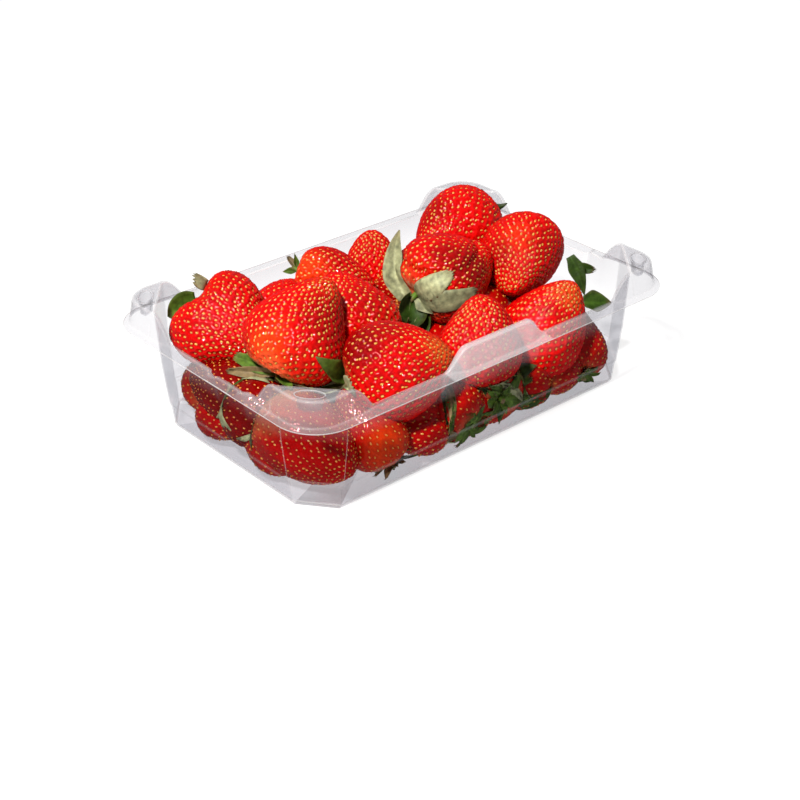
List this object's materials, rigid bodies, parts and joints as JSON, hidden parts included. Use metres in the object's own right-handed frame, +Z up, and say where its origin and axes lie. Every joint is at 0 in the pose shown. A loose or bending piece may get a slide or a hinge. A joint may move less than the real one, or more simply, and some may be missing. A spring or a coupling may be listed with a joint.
{
  "type": "strawberry punnet",
  "caption": "Clear plastic punnet with a flanged rim and raised lid-snap corners, filled with an uneven heap of ripe strawberries.",
  "frame": {"origin": "centre of the punnet's flat underside, at the height it rests on", "axes": "+X along the punnet's length towards the end where the tallest berries lie, +Y across it towards the side without the thumb tab, +Z up"},
  "size_m": [0.1884, 0.1253, 0.0659],
  "materials": {
    "clear_plastic": "clear thermoformed sheet, glossy",
    "strawberry_flesh": "glossy red skin of fresh strawberries"
  },
  "bodies": {
    "root": {"punnet": "clear_plastic", "berries": "strawberry_flesh"}
  },
  "joints": []
}
